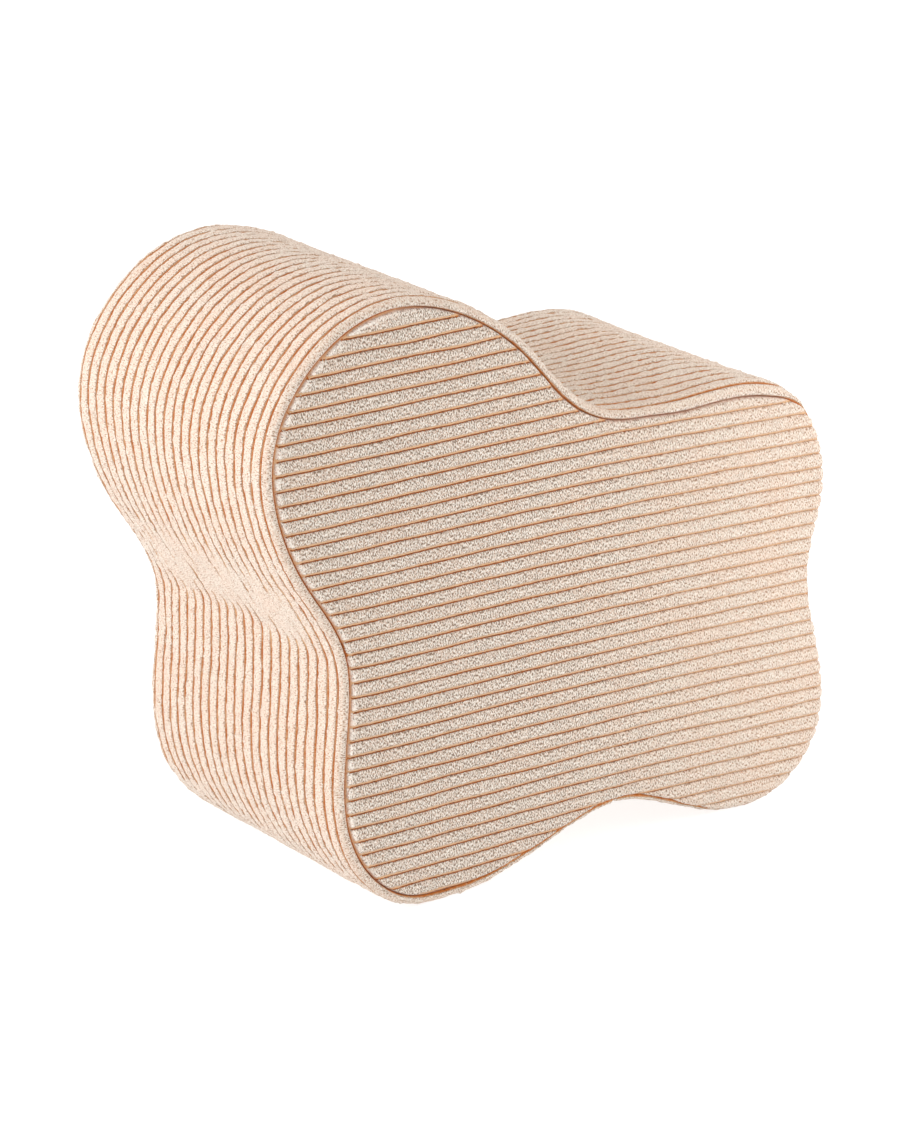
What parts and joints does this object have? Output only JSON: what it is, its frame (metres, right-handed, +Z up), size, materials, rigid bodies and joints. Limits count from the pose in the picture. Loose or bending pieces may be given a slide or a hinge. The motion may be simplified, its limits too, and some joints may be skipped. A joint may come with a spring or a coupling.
{
  "type": "lumbar support cushion",
  "caption": "Free-standing foam lumbar cushion with a four-lobed outline, in a removable wide-wale corduroy cover with a zipped back.",
  "frame": {"origin": "centre of the bounding box in X and Y, at the level of the two lower lobes the cushion stands on", "axes": "+X along the width, away from the tall lobe; +Y through the depth, from the front panel to the zipped back; +Z up"},
  "size_m": [0.3995, 0.1977, 0.3641],
  "materials": {
    "corduroy": "wide-wale corduroy with a looped pile",
    "foam": "cut foam",
    "wadding": "bonded fibre",
    "liner": "plain cloth",
    "zip_tape": "woven tape",
    "zip_coil": "satin",
    "zip_metal": "satin",
    "label": "smooth woven"
  },
  "bodies": {
    "cushion": {"foam_core": "foam", "wadding_wrap": "wadding", "wadding_front": "wadding", "wadding_back": "wadding", "liner_wrap": "liner", "liner_front": "liner", "liner_back": "liner", "cover_boxing": "corduroy", "cover_front_panel": "corduroy", "cover_back_upper": "corduroy", "cover_back_lower": "corduroy", "care_label": "label", "zip_tape_upper": "zip_tape", "zip_tape_lower": "zip_tape", "zip_coil_upper": "zip_coil", "zip_coil_lower": "zip_coil", "zip_top_stop_upper": "zip_metal", "zip_top_stop_lower": "zip_metal", "zip_bottom_stop": "zip_metal"},
    "slider": {"zip_slider": "zip_metal"},
    "pull": {"zip_pull": "zip_metal"}
  },
  "joints": [
    {"name": "zip_travel", "type": "slide", "parent": "cushion", "child": "slider", "axis": [1, 0, 0], "range_m": [-0.29, 0]},
    {"name": "pull_hinge", "type": "hinge", "parent": "slider", "child": "pull", "pos_m": [0.1624, 0.0986, 0.08], "axis": [0, 0, 1], "range_deg": [-170, 0]}
  ]
}
